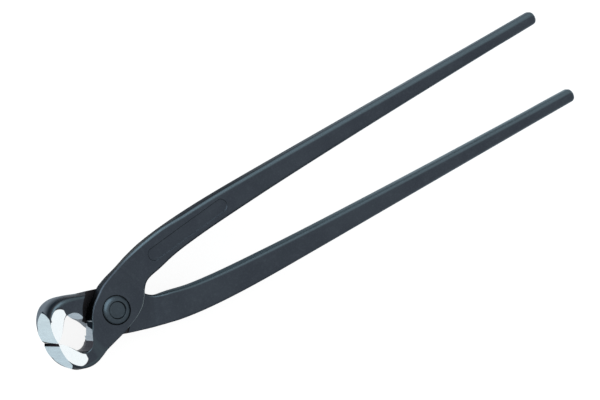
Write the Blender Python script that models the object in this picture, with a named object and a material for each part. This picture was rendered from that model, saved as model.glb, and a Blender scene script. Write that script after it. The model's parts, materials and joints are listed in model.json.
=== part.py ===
"""End-cutting nippers for tying reinforcing bar: two forged levers in a lap joint on one rivet.

Metres. The closed tool lies on its side: X runs from the jaws (-X) to the handles (+X), Y
goes across the handles, and Z is along the rivet. The front lever has the upper handle and
the lower jaw. The rear lever is the same forging, turned half a turn about X. Each piece is
shaped around the rivet's axis, then placed with the middle of the tool at the origin.
"""

from collections import namedtuple
from math import atan2, copysign, cos, hypot, pi, radians, sin, tan

import bmesh
import bpy
from mathutils import Matrix, Vector

# Lengths along the tool, from the rivet's axis, and heights from its middle line.
HANDLE_REACH = 0.2472
HANDLE_HALF_SPAN = 0.0233
JOINT_RADIUS = 0.0112
HEAD_REACH = 0.0329
HEAD_HALF_HEIGHT = 0.0176

# Heights along the rivet, from the lap faces.
HANDLE_HALF_THICKNESS = 0.0050
TIP_HALF_THICKNESS = 0.0040
PLATE_HEIGHT = 0.00875
JAW_HALF_WIDTH = 0.0110

# Forged edges and the rounded end of each handle.
HANDLE_ROUND = 0.0024
PLATE_ROUND = 0.0011
JAW_ROUND = 0.0028
TIP_LENGTH = 0.0028
LEFT_DRAFT_SHARE = 0.03
RIGHT_DRAFT_SHARE = 0.09
MOST_WIDTH_SHARE = 0.46
MOST_HEIGHT_SHARE = 0.90

# The lap joint. Touching pieces are kept this hair gap apart.
HAIR_GAP = 0.0003
LAP_CLEARANCE = 0.0004
JAW_SHOULDER_RADIUS = 0.0174
LAP_OPEN_RADIUS = 0.0230
OPENING_ANGLE = radians(30)
HANDLE_SHOULDER_ANGLE = radians(85)
JAW_SHOULDER_ANGLE = radians(100)

# The rivet, with a dished head in front and a flat one behind.
SHANK_RADIUS = 0.0042
HEAD_RADIUS = 0.0068
HEAD_RISE = 0.0018
DISH_RADIUS = 0.0042
DISH_DEPTH = 0.0010
RIM_RADIUS = 0.0047
BACK_HEAD_RADIUS = 0.0062
BACK_HEAD_RISE = 0.0007
SEAT_DEPTH = 0.0010

# Ground faces of the jaws.
SIDE_GRIND_LENGTH = 0.0096
SIDE_GRIND_DEPTH = 0.0013
END_GRIND_RADIUS = 0.0200
END_GRIND_OFFSET = 0.0035
END_GRIND_TILT = radians(1.5)
END_GRIND_FROM = radians(168)
END_GRIND_TURN = radians(75)
END_GRIND_STEPS = 32
EYE_RADIUS = 0.0047
EYE_CENTRE_X = -0.0213
EYE_CENTRE_Y = -0.0049
EYE_FLAT_LENGTH = 0.0120
FRONT_EYE_HEADING = radians(-28)
REAR_EYE_HEADING = radians(-20)
EYE_ARC_END = radians(-148)
EYE_RELIEF_TILT = radians(15)
EYE_RELIEF_HEADING = radians(-25)

# The shallow recess on the front lever's handle.
RECESS_LENGTH = 0.0456
RECESS_WIDTH = 0.0063
RECESS_DEPTH = 0.00035
RECESS_CENTRE_X = 0.0490
RECESS_CENTRE_Y = 0.0147
RECESS_ANGLE = radians(5.9)

CUT_OVERRUN = 0.004
CORNER_STEPS = 3
SPAN_STEPS = 3
TIP_STEPS = 4
TURN_STEPS = 48
ARC_STEPS = 8
LAP_STEPS = 96
FACET_ANGLE = radians(32)
SEAM_MERGE = 0.000003

BLACK_OXIDE = (0.038, 0.045, 0.056, 1.0)
RIVET_OXIDE = (0.048, 0.056, 0.068, 1.0)
LEVER_ROUGHNESS = 0.42
RIVET_ROUGHNESS = 0.36
METALLIC_SHARE = 0.85

# A rib is one section of a lever, from its left outline to its right one.
Rib = namedtuple("Rib", "left_x left_y right_x right_y top bottom left_round right_round")

# Shares of HANDLE_REACH, HANDLE_HALF_SPAN, the taper to the tip and HANDLE_ROUND.
HANDLE_RIB_SHARES = (
    Rib(0.808, 1.000, 0.808, 0.706, 0.75, 0.75, 0.85, 0.90),
    Rib(0.606, 1.000, 0.606, 0.635, 0.45, 0.45, 0.88, 0.95),
    Rib(0.416, 1.000, 0.416, 0.549, 0.15, 0.15, 0.88, 0.95),
    Rib(0.299, 0.994, 0.299, 0.475, 0.00, 0.00, 0.84, 0.92),
    Rib(0.222, 0.970, 0.222, 0.412, 0.00, 0.00, 0.78, 0.88),
    Rib(0.162, 0.924, 0.162, 0.338, 0.00, 0.00, 0.70, 0.80),
    Rib(0.113, 0.854, 0.119, 0.238, 0.00, 0.00, 0.62, 0.60),
)
TIP_SHARES = Rib(1.0, 0.998, 1.0, 0.764, 1.0, 1.0, 0.85, 0.85)

# Shares of JOINT_RADIUS, the rise from handle to plate or jaw, and PLATE_ROUND.
JOINT_RIB_SHARES = (
    Rib(1.730, 1.613, 2.100, 0.400, 0.10, -0.20, 1.25, 0.90),
    Rib(1.330, 1.520, 1.830, 0.290, 0.28, -0.45, 1.10, 0.95),
    Rib(0.960, 1.424, 1.615, 0.095, 0.48, -0.64, 1.00, 0.95),
    Rib(0.410, 1.273, 1.405, -0.190, 0.76, -0.74, 0.90, 0.70),
    Rib(-0.054, 1.098, 1.107, -0.490, 0.94, -0.70, 0.80, 0.50),
    Rib(-0.422, 0.842, 0.700, -0.735, 1.00, -0.30, 0.75, 0.45),
    Rib(-0.789, 0.567, 0.232, -0.920, 1.00, 0.40, 0.70, 0.45),
    Rib(-1.060, 0.265, -0.205, -1.070, 1.00, 0.90, 0.60, 0.50),
    Rib(-1.210, -0.038, -0.625, -1.190, 1.00, 1.00, 0.50, 0.70),
)

# Shares of HEAD_REACH, HEAD_HALF_HEIGHT, the rise from plate to jaw and JAW_ROUND.
HEAD_RIB_SHARES = (
    Rib(-0.484, -0.210, -0.353, -0.835, 0.10, 1.00, 0.20, 0.50),
    Rib(-0.542, -0.395, -0.479, -0.925, 0.60, 1.00, 0.20, 0.80),
    Rib(-0.607, -0.505, -0.590, -0.988, 1.00, 1.00, 0.20, 1.00),
    Rib(-0.684, -0.532, -0.709, -1.000, 1.00, 1.00, 0.20, 1.05),
    Rib(-0.742, -0.482, -0.832, -0.935, 1.00, 1.00, 0.25, 1.05),
    Rib(-0.803, -0.338, -0.930, -0.768, 1.00, 1.00, 0.30, 1.00),
    Rib(-0.862, -0.192, -0.995, -0.536, 1.00, 1.00, 0.30, 0.90),
    Rib(-0.921, -0.074, -1.014, -0.274, 1.00, 1.00, 0.25, 0.70),
    Rib(-0.948, -0.041, -1.010, -0.095, 1.00, 1.00, 0.15, 0.30),
)
EDGE_INNER_SHARE = 0.972
EDGE_OUTER_SHARE = 0.988
EDGE_ROUND_SHARE = 0.03


def blend(low, high, share):
    return low + (high - low) * share


def handle_rib(shares):
    half = blend(HANDLE_HALF_THICKNESS, TIP_HALF_THICKNESS, shares.top)
    return Rib(
        shares.left_x * HANDLE_REACH,
        shares.left_y * HANDLE_HALF_SPAN,
        shares.right_x * HANDLE_REACH,
        shares.right_y * HANDLE_HALF_SPAN,
        half,
        half,
        shares.left_round * HANDLE_ROUND,
        shares.right_round * HANDLE_ROUND,
    )


def joint_rib(shares):
    return Rib(
        shares.left_x * JOINT_RADIUS,
        shares.left_y * JOINT_RADIUS,
        shares.right_x * JOINT_RADIUS,
        shares.right_y * JOINT_RADIUS,
        blend(HANDLE_HALF_THICKNESS, PLATE_HEIGHT, shares.top),
        blend(HANDLE_HALF_THICKNESS, JAW_HALF_WIDTH, shares.bottom),
        shares.left_round * PLATE_ROUND,
        shares.right_round * PLATE_ROUND,
    )


def head_rib(shares):
    return Rib(
        shares.left_x * HEAD_REACH,
        shares.left_y * HEAD_HALF_HEIGHT,
        shares.right_x * HEAD_REACH,
        shares.right_y * HEAD_HALF_HEIGHT,
        blend(PLATE_HEIGHT, JAW_HALF_WIDTH, shares.top),
        shares.bottom * JAW_HALF_WIDTH,
        shares.left_round * JAW_ROUND,
        shares.right_round * JAW_ROUND,
    )


def tip_ribs():
    """The handle's rounded end, from the point back to its full section."""
    full = handle_rib(TIP_SHARES)
    middle = (full.left_y + full.right_y) / 2
    half = (full.left_y - full.right_y) / 2
    ribs = []
    for step in range(1, TIP_STEPS + 1):
        turn = pi / 2 * step / TIP_STEPS
        swell = sin(turn)
        x = full.left_x - TIP_LENGTH * (1 - cos(turn))
        ribs.append(
            Rib(
                x,
                middle + half * swell,
                x,
                middle - half * swell,
                full.top * swell,
                full.bottom * swell,
                full.left_round * swell,
                full.right_round * swell,
            )
        )
    return ribs


def edge_rib():
    """The cutting edge, half a hair gap from the tool's middle line."""
    y = -HAIR_GAP / 2
    rounding = EDGE_ROUND_SHARE * JAW_ROUND
    return Rib(
        -EDGE_INNER_SHARE * HEAD_REACH,
        y,
        -EDGE_OUTER_SHARE * HEAD_REACH,
        y,
        JAW_HALF_WIDTH,
        JAW_HALF_WIDTH,
        rounding,
        rounding,
    )


def spline_between(before, start, end, after, share):
    """Point at a share of the way from start to end on a Catmull-Rom curve."""
    square = share * share
    cube = square * share
    return 0.5 * (
        2 * start
        + (end - before) * share
        + (2 * before - 5 * start + 4 * end - after) * square
        + (3 * start - before - 3 * end + after) * cube
    )


def forged_ribs():
    """The ribs of a lever, from the handle's full section to the cutting edge."""
    marks = [handle_rib(shares) for shares in HANDLE_RIB_SHARES]
    marks += [joint_rib(shares) for shares in JOINT_RIB_SHARES]
    marks += [head_rib(shares) for shares in HEAD_RIB_SHARES]
    marks = [tip_ribs()[-1], *marks, edge_rib()]
    ribs = []
    for index in range(len(marks) - 1):
        near = (
            marks[max(index - 1, 0)],
            marks[index],
            marks[index + 1],
            marks[min(index + 2, len(marks) - 1)],
        )
        for step in range(SPAN_STEPS):
            share = step / SPAN_STEPS
            ribs.append(Rib(*(spline_between(*sizes, share) for sizes in zip(*near))))
    ribs.append(marks[-1])
    return ribs


def corner(centre, radius, first_turn):
    """Points of a rounded corner, a quarter turn from first_turn on."""
    points = []
    for step in range(CORNER_STEPS + 1):
        turn = first_turn + pi / 2 * step / CORNER_STEPS
        points.append((centre[0] + radius * cos(turn), centre[1] + radius * sin(turn)))
    return points


def edge_radius(rounding, width, height):
    """A forged edge's rounding, kept smaller than the face and the wall that it joins."""
    return min(rounding, MOST_WIDTH_SHARE * width, MOST_HEIGHT_SHARE * height)


def lean(side, height, radius, width):
    """How far a drafted wall leans in by the start of its rounded corner."""
    draft_share = blend(RIGHT_DRAFT_SHARE, LEFT_DRAFT_SHARE, side)
    return min(draft_share * (height - radius), MOST_WIDTH_SHARE * width - radius)


def edge_corner(width, side, height, rounding, quarter):
    """A rounded corner of a rib's section. Side is 1 on the left and 0 on the right."""
    radius = edge_radius(rounding, width, abs(height))
    inset = lean(side, abs(height), radius, width) + radius
    centre = (blend(inset, width - inset, side), height - copysign(radius, height))
    return corner(centre, radius, quarter * pi / 2)


def section(rib):
    """Outline of a rib as (distance from the right outline, height), anticlockwise."""
    width = hypot(rib.left_x - rib.right_x, rib.left_y - rib.right_y)
    return [
        (width, 0.0),
        *edge_corner(width, 1, rib.top, rib.left_round, 0),
        *edge_corner(width, 0, rib.top, rib.right_round, 1),
        (0.0, 0.0),
        *edge_corner(width, 0, -rib.bottom, rib.right_round, 2),
        *edge_corner(width, 1, -rib.bottom, rib.left_round, 3),
    ]


def ring_points(rib):
    right = Vector((rib.right_x, rib.right_y, 0.0))
    across = (Vector((rib.left_x, rib.left_y, 0.0)) - right).normalized()
    upward = Vector((0.0, 0.0, 1.0))
    return [right + across * distance + upward * height for distance, height in section(rib)]


def mesh_object(name, bm):
    """A new object from a bmesh, with its faces turned outwards."""
    bmesh.ops.recalc_face_normals(bm, faces=bm.faces)
    mesh = bpy.data.meshes.new(name)
    bm.to_mesh(mesh)
    bm.free()
    body = bpy.data.objects.new(name, mesh)
    bpy.context.scene.collection.objects.link(body)
    return body


def lofted(name, ribs):
    """A closed body through the ribs' sections, with flat ends."""
    bm = bmesh.new()
    rings = [[bm.verts.new(point) for point in ring_points(rib)] for rib in ribs]
    for ring, following in zip(rings, rings[1:]):
        for index, vert in enumerate(ring):
            bm.faces.new((vert, ring[index - 1], following[index - 1], following[index]))
    bm.faces.new(rings[0])
    bm.faces.new(rings[-1])
    return mesh_object(name, bm)


def prism(name, outline, bottom, top):
    """An outline in X and Y, extruded from one height to another."""
    bm = bmesh.new()
    face = bm.faces.new([bm.verts.new((x, y, bottom)) for x, y in outline])
    raised = bmesh.ops.extrude_face_region(bm, geom=[face])["geom"]
    verts = [item for item in raised if isinstance(item, bmesh.types.BMVert)]
    bmesh.ops.translate(bm, verts=verts, vec=(0.0, 0.0, top - bottom))
    return mesh_object(name, bm)


def turned(name, profile):
    """A body turned about Z from (radius, height) points that start and end on the axis."""
    bm = bmesh.new()
    verts = [bm.verts.new((radius, 0.0, height)) for radius, height in profile]
    edges = [bm.edges.new(pair) for pair in zip(verts, verts[1:])]
    bmesh.ops.spin(
        bm,
        geom=verts + edges,
        axis=(0.0, 0.0, 1.0),
        cent=(0.0, 0.0, 0.0),
        angle=2 * pi,
        steps=TURN_STEPS,
        use_merge=True,
    )
    bmesh.ops.remove_doubles(bm, verts=bm.verts, dist=SEAM_MERGE)
    return mesh_object(name, bm)


def cylinder(name, radius, bottom, top):
    return turned(name, [(0.0, top), (radius, top), (radius, bottom), (0.0, bottom)])


def cut(body, cutter):
    """Takes the cutter out of the body and keeps it as a hidden guide of that body."""
    cutter.parent = body
    cutter.hide_render = True
    cutter.display_type = "WIRE"
    modifier = body.modifiers.new(cutter.name, "BOOLEAN")
    modifier.operation = "DIFFERENCE"
    modifier.solver = "EXACT"
    modifier.object = cutter


def polar(x, y):
    return atan2(y, x), hypot(x, y)


def plate_radius(ribs, angle):
    """Distance from the rivet to the mating lever's plate edge, towards an angle."""
    edge = [polar(rib.right_x, -rib.right_y) for rib in ribs if rib.right_y < JOINT_RADIUS]
    edge = [(turn, radius) for turn, radius in edge if radius < LAP_OPEN_RADIUS]
    for (turn, radius), (next_turn, next_radius) in zip(edge, edge[1:]):
        if turn <= angle < next_turn:
            return blend(radius, next_radius, (angle - turn) / (next_turn - turn))
    return edge[0][1] if angle < edge[0][0] else LAP_OPEN_RADIUS


def swept_radius(ribs, angle):
    """Furthest that the mating plate reaches towards an angle while the tool opens."""
    turns = [OPENING_ANGLE * step / ARC_STEPS for step in range(ARC_STEPS + 1)]
    return max(plate_radius(ribs, angle + turn) for turn in turns) + LAP_CLEARANCE


def lap_outline(ribs):
    """Outline of the lap recess: open, but for the shoulders of the handle and the jaw."""
    outline = []
    for step in range(LAP_STEPS):
        angle = 2 * pi * step / LAP_STEPS - pi
        if 0 <= angle <= HANDLE_SHOULDER_ANGLE:
            radius = min(swept_radius(ribs, angle), LAP_OPEN_RADIUS)
        elif abs(angle) > JAW_SHOULDER_ANGLE:
            radius = JAW_SHOULDER_RADIUS
        else:
            radius = LAP_OPEN_RADIUS
        outline.append((radius * cos(angle), radius * sin(angle)))
    return outline


def cut_lap(lever, ribs):
    depth = -JAW_HALF_WIDTH - CUT_OVERRUN
    cut(lever, prism(lever.name + "_lap_cut", lap_outline(ribs), depth, HAIR_GAP / 2))


def cut_rivet_seat(lever, head_radius):
    top = PLATE_HEIGHT + CUT_OVERRUN
    bore = SHANK_RADIUS + HAIR_GAP
    seat = head_radius + HAIR_GAP
    floor = PLATE_HEIGHT - SEAT_DEPTH
    under = -CUT_OVERRUN
    profile = [(0.0, top), (seat, top), (seat, floor), (bore, floor), (bore, under), (0.0, under)]
    cut(lever, turned(lever.name + "_rivet_cut", profile))


def cut_jaw_side(lever, side):
    """Grinds one side of the jaw, thinner towards the cutting edge. Side is 1 or -1."""
    slope = SIDE_GRIND_DEPTH / SIDE_GRIND_LENGTH
    start = -HEAD_REACH + SIDE_GRIND_LENGTH + CUT_OVERRUN
    end = -HEAD_REACH - CUT_OVERRUN
    outline = [
        (start, JAW_HALF_WIDTH + slope * CUT_OVERRUN),
        (end, JAW_HALF_WIDTH - SIDE_GRIND_DEPTH - slope * CUT_OVERRUN),
        (end, JAW_HALF_WIDTH + CUT_OVERRUN),
        (start, JAW_HALF_WIDTH + CUT_OVERRUN),
    ]
    name = f"{lever.name}_side_cut_{'front' if side > 0 else 'back'}"
    cutter = prism(name, [(x, side * z) for x, z in outline], -HEAD_HALF_HEIGHT, HEAD_HALF_HEIGHT)
    cutter.data.transform(Matrix.Rotation(pi / 2, 4, "X"))
    cut(lever, cutter)


def cut_jaw_end(lever, tilt):
    """Grinds the jaw's outer face to a wide arc that leans a little to one side."""
    reach = HEAD_REACH + CUT_OVERRUN
    centre_x = -HEAD_REACH + END_GRIND_RADIUS
    outline = [(-reach, CUT_OVERRUN)]
    for step in range(END_GRIND_STEPS + 1):
        turn = END_GRIND_FROM + END_GRIND_TURN * step / END_GRIND_STEPS
        x = centre_x + END_GRIND_RADIUS * cos(turn)
        outline.append((x, END_GRIND_RADIUS * sin(turn) - END_GRIND_OFFSET))
    outline.append((-reach, outline[-1][1]))
    height = JAW_HALF_WIDTH + CUT_OVERRUN
    cutter = prism(lever.name + "_end_cut", outline, -height, height)
    lean = Matrix.Translation((-HEAD_REACH, 0.0, 0.0)) @ Matrix.Rotation(tilt, 4, "Y")
    cutter.data.transform(lean @ Matrix.Translation((HEAD_REACH, 0.0, 0.0)))
    cut(lever, cutter)


def cut_eye(lever, heading):
    """Grinds the hollow behind the cutting edge, and a flat from it along the plate."""
    outline = [(EYE_CENTRE_X, EYE_CENTRE_Y + EYE_FLAT_LENGTH)]
    flat = (-sin(heading), cos(heading))
    arc = []
    for step in range(ARC_STEPS + 1):
        turn = blend(heading, EYE_ARC_END, step / ARC_STEPS)
        arc.append((EYE_CENTRE_X + EYE_RADIUS * cos(turn), EYE_CENTRE_Y + EYE_RADIUS * sin(turn)))
    outline.append((arc[0][0] + EYE_FLAT_LENGTH * flat[0], arc[0][1] + EYE_FLAT_LENGTH * flat[1]))
    height = JAW_HALF_WIDTH + CUT_OVERRUN
    cut(lever, prism(lever.name + "_eye_cut", outline + arc, -height, height))


def relieve_eye(lever):
    """Grinds the hollow wider towards the side that the lever's handle does not lie on."""
    length = JAW_HALF_WIDTH + 2 * CUT_OVERRUN
    cutter = cylinder(lever.name + "_relief_cut", EYE_RADIUS, -length, 0.0)
    axis = Vector((sin(EYE_RELIEF_HEADING), -cos(EYE_RELIEF_HEADING), 0.0))
    centre = Matrix.Translation((EYE_CENTRE_X, EYE_CENTRE_Y, 0.0))
    cutter.data.transform(centre @ Matrix.Rotation(EYE_RELIEF_TILT, 4, axis))
    cut(lever, cutter)


def cut_recess(lever):
    """Sinks a shallow recess with round ends into the handle."""
    radius = RECESS_WIDTH / 2
    half = RECESS_LENGTH / 2 - radius
    outline = []
    for end in (1, -1):
        for step in range(ARC_STEPS + 1):
            turn = pi * step / ARC_STEPS - end * pi / 2
            outline.append((end * half + radius * cos(turn), radius * sin(turn)))
    top = HANDLE_HALF_THICKNESS + CUT_OVERRUN
    cutter = prism(lever.name + "_recess_cut", outline, HANDLE_HALF_THICKNESS - RECESS_DEPTH, top)
    place = Matrix.Translation((RECESS_CENTRE_X, RECESS_CENTRE_Y, 0.0)) @ Matrix.Rotation(RECESS_ANGLE, 4, "Z")
    cutter.data.transform(place)
    cut(lever, cutter)


def steel(name, colour, roughness):
    material = bpy.data.materials.new(name)
    material.use_nodes = True
    shader = material.node_tree.nodes["Principled BSDF"]
    shader.inputs["Base Color"].default_value = colour
    shader.inputs["Roughness"].default_value = roughness
    shader.inputs["Metallic"].default_value = METALLIC_SHARE
    return material


def finish(body, material):
    body.data.materials.append(material)
    body.data.shade_smooth()
    body.data.set_sharp_from_angle(angle=FACET_ANGLE)


def pivot_x():
    """Place of the rivet's axis, with the middle of the tool's length at the origin."""
    jaw_reach = HEAD_REACH + JAW_HALF_WIDTH * tan(END_GRIND_TILT)
    return (jaw_reach - HANDLE_REACH) / 2


def forged_lever(name, head_radius, end_tilt, eye_heading, material):
    ribs = forged_ribs()
    lever = lofted(name, tip_ribs()[:-1] + ribs)
    cut_lap(lever, ribs)
    cut_rivet_seat(lever, head_radius)
    cut_jaw_side(lever, 1)
    cut_jaw_side(lever, -1)
    cut_jaw_end(lever, end_tilt)
    cut_eye(lever, eye_heading)
    finish(lever, material)
    lever.location.x = pivot_x()
    return lever


def front_lever(material):
    grinds = (END_GRIND_TILT, FRONT_EYE_HEADING)
    lever = forged_lever("front_lever", HEAD_RADIUS, *grinds, material)
    relieve_eye(lever)
    cut_recess(lever)
    return lever


def rear_lever(material):
    """The front lever's forging, turned half a turn about the tool's middle line."""
    grinds = (-END_GRIND_TILT, REAR_EYE_HEADING)
    lever = forged_lever("rear_lever", BACK_HEAD_RADIUS, *grinds, material)
    lever.rotation_euler = (pi, 0.0, 0.0)
    return lever


def dome(radius, base, rise, rim_radius):
    """Points of a head's round flank, from its rim at the top down to its widest."""
    points = []
    for step in range(ARC_STEPS + 1):
        turn = pi / 2 * (1 - step / ARC_STEPS)
        points.append((blend(rim_radius, radius, cos(turn)), base + rise * sin(turn)))
    return points


def rivet(material):
    seat = PLATE_HEIGHT - SEAT_DEPTH + HAIR_GAP
    crown = PLATE_HEIGHT + HEAD_RISE
    floor = crown - DISH_DEPTH
    widest = seat + SEAT_DEPTH / 2
    front = [(0.0, floor), (DISH_RADIUS - DISH_DEPTH / 2, floor)]
    front.append((DISH_RADIUS, crown - DISH_DEPTH / 4))
    front += dome(HEAD_RADIUS, widest, crown - widest, RIM_RADIUS)
    front += [(HEAD_RADIUS, seat), (SHANK_RADIUS, seat)]
    back_crown = PLATE_HEIGHT + BACK_HEAD_RISE
    back = dome(BACK_HEAD_RADIUS, widest, back_crown - widest, SHANK_RADIUS)
    behind = [(SHANK_RADIUS, -seat), (BACK_HEAD_RADIUS, -seat)]
    behind += [(radius, -height) for radius, height in back[::-1]]
    body = turned("rivet", front + behind + [(0.0, -back_crown)])
    finish(body, material)
    body.location.x = pivot_x()
    return body


def main():
    for old in list(bpy.data.objects):
        bpy.data.objects.remove(old, do_unlink=True)
    lever_steel = steel("black_forged_steel", BLACK_OXIDE, LEVER_ROUGHNESS)
    rivet_steel = steel("black_rivet_steel", RIVET_OXIDE, RIVET_ROUGHNESS)
    front_lever(lever_steel)
    rear_lever(lever_steel)
    rivet(rivet_steel)


main()
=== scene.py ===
"""Looks of the end-cutting nippers: two black levers, a dished rivet and bright ground jaws.

Metres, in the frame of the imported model. X runs from the jaws (-X) to the handles (+X), Y goes
across the handles, and Z is along the rivet, towards the camera.
"""

import json
from collections import namedtuple
from math import atan2, copysign, cos, hypot, pi, radians, sin, tan

import bmesh
import bpy
from mathutils import Matrix, Vector

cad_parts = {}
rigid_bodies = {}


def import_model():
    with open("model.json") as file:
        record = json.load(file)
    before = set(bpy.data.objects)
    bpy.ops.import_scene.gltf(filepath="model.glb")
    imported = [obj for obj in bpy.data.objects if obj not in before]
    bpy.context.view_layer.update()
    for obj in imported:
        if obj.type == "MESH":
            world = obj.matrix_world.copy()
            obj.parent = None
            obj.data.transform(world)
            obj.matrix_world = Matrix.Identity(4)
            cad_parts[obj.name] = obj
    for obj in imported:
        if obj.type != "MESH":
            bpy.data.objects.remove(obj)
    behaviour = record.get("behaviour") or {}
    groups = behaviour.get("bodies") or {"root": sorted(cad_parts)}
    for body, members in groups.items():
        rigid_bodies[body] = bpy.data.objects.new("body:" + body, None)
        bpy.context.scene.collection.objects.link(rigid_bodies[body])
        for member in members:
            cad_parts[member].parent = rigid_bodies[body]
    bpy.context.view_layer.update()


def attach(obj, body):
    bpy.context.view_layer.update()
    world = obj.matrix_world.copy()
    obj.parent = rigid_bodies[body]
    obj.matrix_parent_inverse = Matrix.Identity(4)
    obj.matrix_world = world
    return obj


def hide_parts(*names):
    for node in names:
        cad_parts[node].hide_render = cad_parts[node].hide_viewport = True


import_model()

# Lengths along the tool, from the rivet's axis, and heights from its middle line.
HANDLE_REACH = 0.2472
HANDLE_HALF_SPAN = 0.0233
JOINT_RADIUS = 0.0112
HEAD_REACH = 0.0329
HEAD_HALF_HEIGHT = 0.0176

# Heights along the rivet, from the lap faces.
HANDLE_HALF_THICKNESS = 0.0050
TIP_HALF_THICKNESS = 0.0040
PLATE_HEIGHT = 0.00875
JAW_HALF_WIDTH = 0.0110

# Forged edges and the rounded end of each handle.
HANDLE_ROUND = 0.0024
PLATE_ROUND = 0.0011
JAW_ROUND = 0.0028
TIP_LENGTH = 0.0028
TIP_TRIM = 0.0002
LEFT_DRAFT_SHARE = 0.03
RIGHT_DRAFT_SHARE = 0.09
MOST_WIDTH_SHARE = 0.46
MOST_HEIGHT_SHARE = 0.90

# Roundings up to FLAT_TO get flattened corners, and those from ROUND_FROM on are round.
CORNER_FLAT_SHARE = 0.55
FLAT_TO = 0.0011
ROUND_FROM = 0.0020

# The edge of a plate's face, which stands out over its flank between these places.
FLARE = 0.0008
FLARE_FROM_X = -0.0145
FLARE_TO_X = 0.0500
FLARE_BLEND_SHARE = 0.5

# The lap joint. Touching pieces are kept this hair gap apart.
HAIR_GAP = 0.0003
LAP_CLEARANCE = 0.0004
JAW_SHOULDER_RADIUS = 0.0174
FRONT_JAW_ROOT = 0.0166
REAR_JAW_ROOT = 0.0147
LAP_OPEN_RADIUS = 0.0230
OPENING_ANGLE = radians(30)
HANDLE_SHOULDER_ANGLE = radians(85)
JAW_SHOULDER_ANGLE = radians(100)

# The rivet, with a dished head in front and a flat one behind.
SHANK_RADIUS = 0.0042
HEAD_RADIUS = 0.0068
HEAD_RISE = 0.0018
DISH_RADIUS = 0.0042
DISH_DEPTH = 0.0010
DISH_LIP_SHARE = 0.06
RIM_RADIUS = 0.0047
BACK_HEAD_RADIUS = 0.0062
BACK_HEAD_RISE = 0.0007
SEAT_DEPTH = 0.0010
SEAT_GAP = 0.00012

# Ground faces of the jaws.
SIDE_GRIND_LENGTH = 0.0096
SIDE_GRIND_DEPTH = 0.0013
END_GRIND_RADIUS = 0.0200
END_GRIND_OFFSET = 0.0035
END_GRIND_TILT = radians(1.5)
END_GRIND_FROM = radians(168)
END_GRIND_TURN = radians(75)
END_GRIND_STEPS = 72
EYE_RADIUS = 0.0047
EYE_CENTRE_X = -0.0213
EYE_CENTRE_Y = -0.0049
EYE_FLAT_LENGTH = 0.0096
FRONT_EYE_HEADING = radians(-28)
REAR_EYE_HEADING = radians(-20)
EYE_ARC_END = radians(-148)
EYE_RELIEF_TILT = radians(15)
EYE_RELIEF_HEADING = radians(-25)

# The shallow recess on the front lever's handle.
RECESS_LENGTH = 0.0456
RECESS_WIDTH = 0.0063
RECESS_DEPTH = 0.00040
RECESS_SLOPE = 0.00030
RECESS_CENTRE_X = 0.0490
RECESS_CENTRE_Y = 0.0152
RECESS_ANGLE = radians(5.9)

# How far cutters reach past what they cut, and how finely the shapes are made.
CUT_OVERRUN = 0.004
CORNER_STEPS = 7
SPAN_STEPS = 8
TIP_STEPS = 9
TURN_STEPS = 128
ARC_STEPS = 32
LAP_STEPS = 360
FACET_ANGLE = radians(32)
SEAM_MERGE = 0.000003
NORMAL_WEIGHT = 80

# A rib is one section of a lever, from its left outline to its right one.
Rib = namedtuple("Rib", "left_x left_y right_x right_y top bottom left_round right_round")

# Shares of HANDLE_REACH, HANDLE_HALF_SPAN, the taper to the tip and HANDLE_ROUND.
HANDLE_RIB_SHARES = (
    Rib(0.808, 1.000, 0.808, 0.686, 0.75, 0.75, 1.22, 1.20),
    Rib(0.606, 1.000, 0.606, 0.620, 0.45, 0.45, 1.12, 1.08),
    Rib(0.416, 1.000, 0.416, 0.540, 0.15, 0.15, 1.00, 1.00),
    Rib(0.299, 0.994, 0.299, 0.471, 0.00, 0.00, 0.90, 0.94),
    Rib(0.222, 0.970, 0.222, 0.412, 0.00, 0.00, 0.78, 0.88),
    Rib(0.162, 0.924, 0.162, 0.338, 0.00, 0.00, 0.70, 0.80),
    Rib(0.113, 0.854, 0.119, 0.238, 0.00, 0.00, 0.62, 0.60),
)
TIP_SHARES = Rib(1.0, 1.000, 1.0, 0.736, 1.0, 1.0, 1.25, 1.25)

# Shares of JOINT_RADIUS, the rise from handle to plate or jaw, and PLATE_ROUND.
JOINT_RIB_SHARES = (
    Rib(1.730, 1.613, 2.100, 0.400, 0.02, -0.20, 1.00, 0.90),
    Rib(1.330, 1.520, 1.830, 0.290, 0.14, -0.45, 0.95, 0.95),
    Rib(0.960, 1.424, 1.615, 0.095, 0.38, -0.64, 0.90, 0.95),
    Rib(0.410, 1.273, 1.405, -0.190, 0.71, -0.74, 0.85, 0.70),
    Rib(-0.054, 1.098, 1.107, -0.490, 0.94, -0.70, 0.80, 0.50),
    Rib(-0.422, 0.842, 0.700, -0.735, 1.00, -0.30, 0.75, 0.45),
    Rib(-0.789, 0.567, 0.232, -0.920, 1.00, 0.40, 0.70, 0.45),
    Rib(-1.060, 0.265, -0.205, -1.070, 1.00, 0.90, 0.60, 0.50),
    Rib(-1.210, -0.038, -0.625, -1.190, 1.00, 1.00, 0.50, 0.70),
)

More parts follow.
